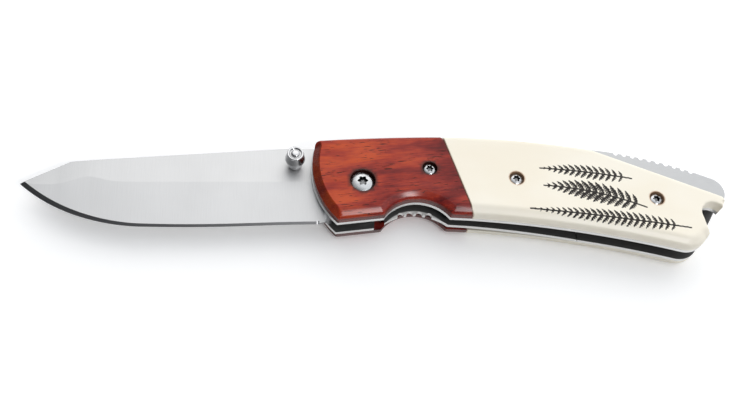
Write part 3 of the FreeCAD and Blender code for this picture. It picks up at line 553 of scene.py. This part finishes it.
def plate(outline, bores, top, insets, lattice, side):
    """A wood or cream plate on a liner: a wall round the outline, a face whose height is top(points),
    stepped counterbores, and a flat underside. insets are rows of points inside the outline, so that
    its rounded edges are smooth, and lattice is the spacing of the rest. side is 1 in front."""
    outline = single(outline)
    way = np.roll(outline, -1, axis=0) - np.roll(outline, 1, axis=0)
    inward = np.stack([way[:, 1], -way[:, 0]], axis=-1) / np.linalg.norm(way, axis=1, keepdims=True)
    area = np.cross(outline, np.roll(outline, -1, axis=0)).sum()
    inward = inward if area < 0 else -inward
    low, high = outline.min(0), outline.max(0)
    grid = np.stack(np.meshgrid(*(np.arange(a, b, lattice) for a, b in zip(low, high))), axis=-1)
    spots = [(outline + inward * gap, gap * 0.98) for gap in insets]
    spots.append((grid.reshape(-1, 2), insets[-1] * 1.15))
    rims = [circle(centre, radius) for centre, radius, _, _ in bores]
    inner = []
    for some, gap in spots:
        some = some[inside(some, outline)]
        some = some[distance(some, outline, True) > gap]
        for centre, radius, _, _ in bores:
            some = some[np.hypot(*(some - centre).T) > radius + 0.25]
        inner.append(some)
    flat, corners = filled([outline, *rims], np.vstack(inner))
    parts = [(np.column_stack([flat, side * top(flat)]), corners.tolist())]
    rim_heights = top(outline)
    levels = [(outline, rim_heights), (outline, np.full(len(outline), LINER_FACE))]
    parts.append(sheet(np.stack([np.column_stack([loop, side * z]) for loop, z in levels])))
    holes = []
    for (centre, radius, depth, shank), rim in zip(bores, rims):
        hole = circle(centre, shank)
        floor = HANDLE_FACE - depth
        steps = [(rim, top(rim)), (rim, floor + 0 * top(rim)), (hole, floor + 0 * top(rim))]
        steps.append((hole, LINER_FACE + 0 * top(rim)))
        parts.append(sheet(np.stack([np.column_stack([loop, side * z]) for loop, z in steps])))
        holes.append(hole)
    under, corners = filled([outline, *holes], np.empty((0, 2)))
    parts.append((np.column_stack([under, np.full(len(under), side * LINER_FACE)]), corners.tolist()))
    return parts


def rounded(gap, radius):
    """How far a rounded edge falls below its face at a gap from the edge."""
    short = np.clip(radius - gap, 0, radius)
    return radius - np.sqrt(radius**2 - short**2)


nose = np.vstack([run(NOSE_FOOT, NOSE_BROW, NOSE_BULGE), NOSE_BROW[None]])
TOP_END, JOINT_START = JOINT_TOP + np.array([[-0.9, -0.02], [0.2, -0.8]])
brow, long_top = run(NOSE_BROW, BROW, BROW_BULGE), run(BROW, TOP_END, TOP_BULGE)
corner = run(TOP_END, JOINT_START, CORNER_BULGE, 0.2)
bolster_top = np.vstack([brow, long_top, corner, JOINT_START[None]])
joint_line = np.vstack([run(JOINT_START, JOINT_FOOT), JOINT_FOOT[None]])
finger_cut = run(CUT_END, CUT_START, CUT_BULGE)
bolster_foot = np.vstack([run(JOINT_FOOT, CUT_END), finger_cut, run(CUT_START, NOSE_FOOT), NOSE_FOOT[None]])
bolster_outline = np.vstack([nose[:-1], bolster_top[:-1], joint_line[:-1], bolster_foot[:-1]])


def foot_fall(gap):
    """How far the soft bevel along the foot falls below the face at a gap from the edge: it starts as a
    parabola, runs straight and ends in a rounded rim."""
    short = FOOT_BEVEL - gap
    eased = (np.clip(short, -FOOT_EASE, FOOT_EASE) + FOOT_EASE) ** 2 / (4 * FOOT_EASE)
    ramp = eased + np.maximum(short - FOOT_EASE, 0)
    return FOOT_SLOPE * ramp + rounded(gap, FOOT_ROUND)


def bolster_height(points):
    """The face, with the nose's bevel, the rounded top edge, the soft bevel along the foot and the
    broken edge at the joint."""
    bevel = np.clip(NOSE_BEVEL - distance(points, nose), 0, NOSE_BEVEL)
    bevel = np.where(bevel < NOSE_CREST, bevel**2 / (2 * NOSE_CREST), bevel - NOSE_CREST / 2)
    top_edge = rounded(distance(points, bolster_top), TOP_ROUND)
    foot_edge = foot_fall(distance(points, bolster_foot))
    joint_edge = rounded(distance(points, joint_line), JOINT_BREAK)
    return HANDLE_FACE - np.maximum.reduce([bevel, top_edge, foot_edge, joint_edge])


GRAIN_TURN = -0.1
BOLSTER_ROWS = [0.03, 0.09, 0.18, 0.3, 0.45, 0.65, 0.9, 1.1, 1.4, 1.7, 1.95, 2.05, 2.3, 2.6, 2.9, 3.3]


def red_wood(start):
    """Heartwood, darker towards the joint, with bands, fibres and short dark pores that run a little
    across the knife. The rear slab and the walls are darker as painted shade, and the end grain is
    darker partly as end grain and partly as painted shade. The hand has polished the bevels. A mark
    darkens the joint with grime and the bores with painted shade."""
    bands = start.noise((70.0, 420.0, 300.0), detail=4.0, turn=GRAIN_TURN)
    fibres = start.noise((220.0, 3400.0, 3400.0), detail=3.0, turn=GRAIN_TURN)
    patches = start.noise((75.0, 130.0, 90.0), detail=3.0, turn=GRAIN_TURN)
    streaks = start.noise((380.0, 3300.0, 2600.0), detail=2.0, roughness=0.4, turn=GRAIN_TURN)
    groups = start.noise((150.0, 260.0, 200.0), detail=2.0, turn=GRAIN_TURN)
    pores = streaks.between(0.6, 0.66) * groups.between(0.44, 0.54)
    along, height = (start.place(axis) - float(pivot[axis]) for axis in (0, 2))
    # Darker towards the joint as the wood's own tone, and darker on the rear slab as painted shade.
    tone_and_rear_shade = 0.09 * height.between(-0.001, 0.001) - 0.04 - 0.09 * along.between(-0.014, 0.03)
    stops = [
        (0.32, (0.08, 0.007, 0.009)),
        (0.44, (0.23, 0.019, 0.014)),
        (0.51, (0.36, 0.034, 0.016)),
        (0.62, (0.53, 0.068, 0.015)),
    ]
    mixture = 0.34 * bands + 0.2 * fibres + 0.46 * patches + tone_and_rear_shade
    tone = start.node("ValToRGB", {"stops": stops}, {"Fac": mixture})
    dirt = start.node("Attribute", {"attribute_name": "dirt"}, out=2)
    # Faces that face along X are darker, partly as end grain and partly as painted shade.
    end_grain_and_shade, level = abs(start.facing(0)).between(0.35, 0.7), abs(start.facing(2))
    # Painted shade down the upright walls.
    wall, polished = 1.0 - level.between(0.2, 0.5), 1.0 - level.between(0.87, 0.98)
    gloss = 0.02 + 0.15 * patches.between(0.3, 0.7) + 0.5 * polished
    dark = (0.8 * pores).most(0.95 * dirt).most(0.62 * end_grain_and_shade).most(0.7 * wall)
    return {
        "Base Color": dark.mixed(tone, (0.05, 0.014, 0.01, 1)),
        "Roughness": 0.32 + 0.12 * fibres + 0.2 * pores - 0.12 * polished,
        "Normal": (0.4 * fibres - pores).raised(0.00005),
        "Specular IOR Level": 0.18,
        "Coat Weight": gloss * (1.0 - end_grain_and_shade),
        "Coat Roughness": 0.22,
    }


heartwood = finish("red wood", red_wood)
for side, label in ((1, "front"), (-1, "rear")):
    parts = plate(bolster_outline, BOLSTER_BORES, bolster_height, BOLSTER_ROWS, 1.3, side)
    points = np.vstack([part[0] for part in parts])
    # Grime along the joint, and painted shade down and round the counterbores.
    dirt = np.clip(1.3 - distance(points[:, :2], joint_line) / 0.3, 0, 1)
    for centre, radius, _, _ in BOLSTER_BORES:
        gap = np.hypot(*(points[:, :2] - centre).T) - radius
        dirt = np.maximum(dirt, np.clip(1 - gap / 0.2, 0, 1))
    marks = {"dirt": dirt}
    piece(f"{label}_wood", parts, "handle", [f"{label}_bolster"], heartwood, 24, marks)

# Scales: cream cast plates, smooth and softly rounded, with inked ferns on the show side. Each is
# screwed to its liner, and the front one is bitten out at the butt, where a bar holds a lanyard.
BUTT_CENTRE, BUTT_RADIUS = np.array([102.8, -1.7]), 4.8
HEEL_CENTRE, HEEL_RADIUS = np.array([91.3, -14.5]), 6.5
PALM_RADIUS, BACK_BULGE = 324.0, 0.97
SHOULDER, SHOULDER_ROUND, SCALE_ROUND = np.array([68.3, 10.7]), 6.0, 1.3
NOTCH_DROP, NOTCH_INSET, NOTCH_RADIUS, NOTCH_ROUND, SCALE_TAIL = -11.7, 1.2, 3.7, 0.5, 1.35
LIP_SHARE, LIP_FALL = 0.5, 3.4
SCALE_BORES = [((44.0, 0.7), 2.15, 1.9, 1.02), ((84.2, -6.0), 2.15, 1.9, 1.02)]


def tangent_points():
    """The straight end touches the butt's and the heel's circles, and the palm's arc leaves the heel's
    circle along it: gives the end's two points, its outward direction and the palm's start."""
    way = HEEL_CENTRE - BUTT_CENTRE
    lean = (BUTT_RADIUS - HEEL_RADIUS) / np.linalg.norm(way)
    way = way / np.linalg.norm(way)
    aside = np.array([-way[1], way[0]])
    out = lean * way + math.sqrt(1 - lean**2) * aside
    span = JOINT_FOOT - HEEL_CENTRE
    length = np.linalg.norm(span)
    reach = PALM_RADIUS + HEEL_RADIUS
    along = (reach**2 - PALM_RADIUS**2 + length**2) / (2 * length)
    across = np.array([-span[1], span[0]]) / length
    palm = HEEL_CENTRE + span / length * along + across * math.sqrt(reach**2 - along**2)
    heel = HEEL_CENTRE + (palm - HEEL_CENTRE) * HEEL_RADIUS / reach
    return BUTT_CENTRE + BUTT_RADIUS * out, HEEL_CENTRE + HEEL_RADIUS * out, out, heel, palm


BUTT, HEEL_END, OUT, HEEL, PALM_CENTRE = tangent_points()
DOWN = np.array([OUT[1], -OUT[0]])


def arc_about(centre, start, stop, step=0.4):
    """Points from start up to but not with stop, the short way round a centre."""
    first, last = (math.atan2(*(point - centre)[::-1]) for point in (start, stop))
    turn = (last - first + math.pi) % (2 * math.pi) - math.pi
    radius = np.linalg.norm(start - centre)
    count = max(3, round(abs(turn) * radius / step))
    return centre + polar(radius, np.degrees(first + turn * np.arange(count) / count))


def rounded_corner(before, corner, after, radius):
    """The arc that rounds a corner between two straight ways, with both its ends."""
    one, two = ((other - corner) / np.linalg.norm(other - corner) for other in (before, after))
    half = math.acos(np.clip(one @ two, -1, 1)) / 2
    start, stop = (corner + way * radius / math.tan(half) for way in (one, two))
    middle = (one + two) / np.linalg.norm(one + two)
    centre = corner + middle * radius / math.sin(half)
    return np.vstack([arc_about(centre, start, stop, 0.3), stop])


def scale_outline(notched):
    """The rim but for the joint, from the top of the joint round to its foot, in three lines: the back
    with the tail, the end, and the heel with the palm. The notch is a round bite, whose lower lip is
    trimmed straight from LIP_SHARE of the way along its lower half to LIP_FALL past its end."""
    tail = BUTT + DOWN * SCALE_TAIL
    top = run(JOINT_TOP, SHOULDER, BACK_BULGE)
    shoulder = rounded_corner(top[-8], SHOULDER, tail, SHOULDER_ROUND)
    top = top[np.linalg.norm(top - SHOULDER, axis=1) > np.linalg.norm(shoulder[0] - SHOULDER) + 0.1]
    corner = rounded_corner(SHOULDER, tail, HEEL_END, 1.5)
    end = run(corner[-1], HEEL_END)
    if notched:
        level = BUTT + DOWN * (NOTCH_DROP - BUTT[1]) / DOWN[1]
        middle = level - OUT * NOTCH_INSET
        half = math.sqrt(NOTCH_RADIUS**2 - NOTCH_INSET**2)
        first, last = level - DOWN * half, level + DOWN * half
        deep = middle - OUT * NOTCH_RADIUS
        lower = arc_about(middle, deep, last, 0.3)
        lower = lower[: round(LIP_SHARE * len(lower))]
        lip = last + DOWN * LIP_FALL
        trimmed = run(lower[-1], lip)[1:]
        end = np.vstack([arc_about(middle, first, deep, 0.3), lower, trimmed, run(lip, HEEL_END)])
    diagonal = run(shoulder[-1], corner[0])[1:]
    heel = arc_about(HEEL_CENTRE, HEEL_END, HEEL)
    palm = arc_about(PALM_CENTRE, HEEL, JOINT_FOOT)
    return np.vstack([top, shoulder, diagonal, corner[:-1]]), end, np.vstack([heel, palm, JOINT_FOOT[None]])


def leaflets(base, lean, length, bend, pairs, widest):
    """A fern frond as rows of (x, y, angle, length): a stem that bends evenly from base, with pairs of
    leaflets that lean forward and grow and shrink along it as a half sine."""
    share = np.linspace(0.1, 1.0, pairs)
    way = lean + bend * share
    x = base[0] + length * (np.sin(lean + bend * share) - math.sin(lean)) / bend
    y = base[1] - length * (np.cos(lean + bend * share) - math.cos(lean)) / bend
    size = widest * np.sin(np.pi * (0.16 + 0.82 * share)) ** 0.8
    rows = [np.stack([x, y, way + turn * (1.05 - 0.45 * share), size], axis=-1) for turn in (1, -1)]
    stem = np.stack([x, y], axis=-1)
    return np.vstack(rows), stem


FRONDS = [
    ((80.5, -9.0), 2.72, 30.0, 0.35, 15, 4.6),
    ((78.0, 0.5), 2.95, 27.0, 0.12, 15, 3.2),
    ((92.0, -15.6), 2.97, 46.0, 0.06, 25, 3.2),
]


def fern(points):
    """How much ink lies at each point: leaflets with a dark upper half, a hatched lower half and a pale
    rib, and the fronds' stems."""
    ink = np.zeros(len(points))
    for base, lean, length, bend, pairs, widest in FRONDS:
        rows, stem = leaflets(base, lean, length, bend, pairs, widest)
        for x, y, angle, size in rows:
            near = np.hypot(points[:, 0] - x, points[:, 1] - y) < size + 0.4
            along = (points[near, 0] - x) * math.cos(angle) + (points[near, 1] - y) * math.sin(angle)
            aside = (points[near, 1] - y) * math.cos(angle) - (points[near, 0] - x) * math.sin(angle)
            share = np.clip(along / size, 0, 1)
            half = 0.18 * size * np.sin(np.pi * share**0.75) ** 0.8 * (1 + 0.12 * np.sin(30 * share))
            cover = np.clip((half - np.abs(aside)) / 0.14 + 0.5, 0, 1) * (along > 0) * (along < size)
            hatch = 0.62 + 0.38 * np.sin(along * 2 * np.pi / 0.62 + 2.0 * aside)
            tone = np.where(aside * math.cos(angle) > 0, 0.95, 0.35 + 0.5 * hatch)
            ink[near] = np.maximum(ink[near], cover * tone)
        path = np.vstack([np.array(base)[None], stem])
        ink = np.maximum(ink, np.clip((0.24 - distance(points, path)) / 0.14 + 0.5, 0, 1))
    return ink


def cream(start):
    """Warm ivory resin with faint clouds. Marks on the points carry the ink and a brown that is partly
    painted shade down the bores.
    """
    clouds = start.noise((35.0, 60.0, 60.0), detail=3.0)
    specks = start.noise((900.0, 900.0, 900.0), detail=2.0)
    ink = start.node("Attribute", {"attribute_name": "ink"}, out=2)
    burn = start.node("Attribute", {"attribute_name": "burn"}, out=2)
    worn = (ink * (0.72 + 0.5 * specks)).between(0.3, 0.72)
    ivory = clouds.between(0.3, 0.7).mixed((0.94, 0.87, 0.725, 1), (0.97, 0.915, 0.79, 1))
    stain_and_shade = (0.8 * burn).mixed(ivory, (0.36, 0.16, 0.05, 1))
    return {
        "Base Color": worn.mixed(stain_and_shade, (0.016, 0.012, 0.01, 1)),
        "Roughness": 0.34 + 0.08 * clouds + 0.2 * worn,
        "Normal": (0.2 * specks - worn).raised(0.00002),
        "Specular IOR Level": 0.3,
        "Coat Weight": 0.2 - 0.2 * worn,
        "Coat Roughness": 0.2,
    }


def scale_top(back, end, palm, end_round):
    """Gives the face's height at points: rounded along the back, by end_round along the end, with the
    bolsters' soft bevel along the palm, and broken at the joint."""

    def height(points):
        falls = [rounded(distance(points, back), SCALE_ROUND), rounded(distance(points, end), end_round)]
        falls += [foot_fall(distance(points, palm)), rounded(distance(points, joint_line), JOINT_BREAK)]
        return HANDLE_FACE - np.maximum.reduce(falls)

    return height


INK_LATTICE, PLAIN_LATTICE = 0.23, 1.3
ivory_cast = finish("cream", cream)
for side, label in ((1, "front"), (-1, "rear")):
    back, end, palm = scale_outline(notched=side > 0)
    top = scale_top(back, end, palm, NOTCH_ROUND if side > 0 else SCALE_ROUND)
    outline = np.vstack([back, end, palm, joint_line[::-1][1:-1]])
    rows, lattice = (BOLSTER_ROWS[:11], INK_LATTICE) if side > 0 else (BOLSTER_ROWS, PLAIN_LATTICE)
    parts = plate(outline, SCALE_BORES, top, rows, lattice, side)
    points = np.vstack([part[0] for part in parts])
    face = side * points[:, 2] > HANDLE_FACE - 0.6
    ink = np.where(face, fern(points[:, :2]), 0.0) if side > 0 else np.zeros(len(points))
    # A brown line at the joint and round the bores, and the same brown down the bores' walls as painted
    # shade.
    burn = np.clip(1.3 - distance(points[:, :2], joint_line) / 0.2, 0, 1)
    for centre, radius, _, _ in SCALE_BORES:
        gap = np.hypot(*(points[:, :2] - centre).T) - radius
        burn = np.maximum(burn, np.clip(1 - gap / 0.35, 0, 1) * (side * points[:, 2] > LINER_FACE + 0.1))
        ink *= np.clip(gap / 0.8, 0, 1)
    marks = {"ink": ink, "burn": burn}
    piece(f"{label}_cream", parts, "handle", [f"{label}_scale"], ivory_cast, 24, marks)

# Screws: button heads of bright steel with a six-lobed drive, two large ones that close the pivot
# barrel and three small ones a side that hold the bolsters and scales.


def screw_surface(centre, seat, head, height, rim, shank, length, drive, depth, side):
    """Rings from the bottom of the drive up its lobed wall, over the dome, down the head and along the
    shank, and a mark of painted shade, 1 on the drive's wall and less on its floor. The wall is a
    circle with a six-fold wave."""
    angle = np.linspace(0, 2 * np.pi, 96, endpoint=False)
    lobes = drive / 2 * (0.86 + 0.14 * np.cos(6 * angle))
    plain = np.ones_like(angle)
    bow = (head**2 / 4 + (height - rim) ** 2) / (2 * (height - rim))
    spread = np.linspace(0.0, 1.0, 9)[:, None]
    dome = (lobes * 1.06) + (head / 2 * plain - lobes * 1.06) * spread
    crown = height - bow + np.sqrt(bow**2 - dome**2)
    bottom = height - depth
    rows = [(0 * plain, bottom - 0.12), (lobes * 0.6, bottom), (lobes, bottom + 0.05)]
    rows += [(lobes, crown[0] - 0.05)] + list(zip(dome, crown))
    rows += [(plain * head / 2, rim * 0.2), (plain * (head / 2 - 0.06), 0.0), (plain * shank / 2, 0.0)]
    rows += [(plain * shank / 2, -length), (0 * plain, -length)]
    radius, up = (np.stack([row[n] + 0 * angle for row in rows]) for n in (0, 1))
    x, y = centre[0] + radius * np.cos(angle), centre[1] + radius * np.sin(angle)
    drive_shade_rows = np.array([0.6, 0.6, 1.0, 1.0] + [0.0] * (len(rows) - 4))
    rings = np.stack([x, y, side * (seat + up)], axis=-1)
    return sheet(rings), np.repeat(drive_shade_rows, len(angle))


def screw_steel(start):
    """Bright steel, greyed in patches by handling, with the drive painted dark as painted shade."""
    sockets = ground_steel(start, (0.56, 0.565, 0.57), (2500, 2500, 2500), 0.16, 0.26)
    smudge = start.noise((700.0, 700.0, 700.0), detail=3.0)
    drive = start.node("Attribute", {"attribute_name": "drive"}, out=2)
    tone = drive.between(0.2, 0.8).mixed(sockets["Base Color"], (0.03, 0.03, 0.032, 1))
    return {**sockets, "Base Color": tone, "Roughness": 0.14 + 0.3 * smudge.between(0.4, 0.75)}


screw_finish = finish("screw steel", screw_steel)
SCREWS = {
    "pivot": ((0.0, 0.0), 2.9, 6.5, 2.8, 1.9, 3.16, 3.4, 2.9, 1.4),
    "bolster": ((19.25, 3.96), 1.9, 3.7, 1.75, 1.15, 2.0, 3.0, 2.1, 1.0),
    "mid": ((44.0, 0.7), 1.9, 3.7, 1.75, 1.15, 2.0, 3.0, 2.1, 1.0),
    "tail": ((84.2, -6.0), 1.9, 3.7, 1.75, 1.15, 2.0, 3.0, 2.1, 1.0),
}
for side, label in ((1, "front"), (-1, "rear")):
    for name, (centre, bore, *sizes) in SCREWS.items():
        part, drive = screw_surface(centre, HANDLE_FACE - bore, *sizes, side)
        held, marks = [f"{label}_{name}_screw"], {"drive": drive}
        piece(f"{label}_{name}_button", [part], "handle", held, screw_finish, 30, marks)

# Studio: a white sweep under the knife, a wide soft box above and behind it, brightest at its back,
# which the steel mirrors, and a narrow lamp in front for the shine on the rounded edges.


def white_floor(start):
    """White paper, lifted to full white for the camera and for what mirrors it."""
    paths = [start.node("LightPath", out=n) for n in (0, 3, 6)]
    seen = paths[0] + paths[1] + paths[2]
    return {
        "Base Color": (0.95, 0.95, 0.95, 1.0),
        "Roughness": 0.8,
        "Emission Color": seen.mixed((0, 0, 0, 1), (1, 1, 1, 1)),
        "Emission Strength": 0.17,
    }


ends = np.array([-3.0, 3.0])
floor_corners = np.stack([*np.meshgrid(ends, ends), np.full((2, 2), -0.00003)], axis=-1)
floor_points, floor_faces = sheet(floor_corners, False)
floor_mesh = bpy.data.meshes.new("floor")
floor_mesh.from_pydata(floor_points.tolist(), [], floor_faces)
floor_mesh.materials.append(finish("floor", white_floor))
floor = bpy.data.objects.new("floor", floor_mesh)
scene.collection.objects.link(floor)

lamp_data = bpy.data.lights.new("front_lamp", "AREA")
lamp_data.shape = "RECTANGLE"
lamp_data.size, lamp_data.size_y = 0.24, 0.08
lamp_data.energy = 1.45
lamp = bpy.data.objects.new("front_lamp", lamp_data)
lamp.location = (0.26, -0.42, 0.62)
lamp.rotation_euler = (-lamp.location).to_track_quat("-Z", "Y").to_euler()
scene.collection.objects.link(lamp)

world = bpy.data.worlds.new("studio")
world.use_nodes = True
world.node_tree.nodes.clear()
sky = Shade(world.node_tree)
SOFT_BOX, BRIGHT_PART = (0.3, 0.55, 0.78), (0.12, 0.72, 0.683)
SOFT_BOX_STOPS = [
    (0.0, (0.055, 0.055, 0.057)),
    (0.38, (0.07, 0.07, 0.072)),
    (0.64, (0.72, 0.72, 0.72)),
    (0.76, (1.0, 1.0, 1.0)),
]
BRIGHT_STOPS = [(0.78, (0.7, 0.72, 0.745)), (0.9, (1.0, 0.998, 0.995))]


def cast(middle, stops):
    """A colour that depends on how near a direction is to the middle of a part of the room."""
    sockets = {0: sky.node("TexCoord", out=0), 1: middle}
    near = sky.node("VectorMath", {"operation": "DOT_PRODUCT"}, sockets, out=1)
    return sky.node("ValToRGB", {"stops": stops}, {"Fac": near})


both = {0: 1.0, 6: cast(SOFT_BOX, SOFT_BOX_STOPS), 7: cast(BRIGHT_PART, BRIGHT_STOPS)}
room = sky.node("Mix", {"data_type": "RGBA", "blend_type": "MULTIPLY"}, both, out=2)
shown = sky.node("LightPath", out=0).mixed(room, (1, 1, 1, 1))
power = 1.75 - 0.75 * sky.node("LightPath", out=0)
glow = sky.node("Background", {}, {"Color": shown, "Strength": power})
sky.node("OutputWorld", {}, {"Surface": glow})
scene.world = world
scene.view_settings.view_transform = "Standard"

# Camera: above the edge side, looking down at about sixty degrees with the knife nearly level across
# the picture. LOOK holds the directions of its right, its top and its back.
LOOK = np.array(
    [
        [0.9922676, -0.06388536, 0.10641269],
        [0.00262777, 0.86797979, 0.49659257],
        [-0.12408906, -0.4924731, 0.8614361],
    ]
)
CAMERA_PLACE = np.array([-27.28, -120.77, 207.08])
camera_data = bpy.data.cameras.new("camera")
camera_data.lens = 41.35
camera_data.sensor_width = 36.0
camera_data.clip_start = 0.01
camera = bpy.data.objects.new("camera", camera_data)
stand = Matrix(LOOK.T.tolist()).to_4x4()
stand.translation = CAMERA_PLACE * MILLIMETRE + pivot
camera.matrix_world = stand
scene.collection.objects.link(camera)
scene.camera = camera
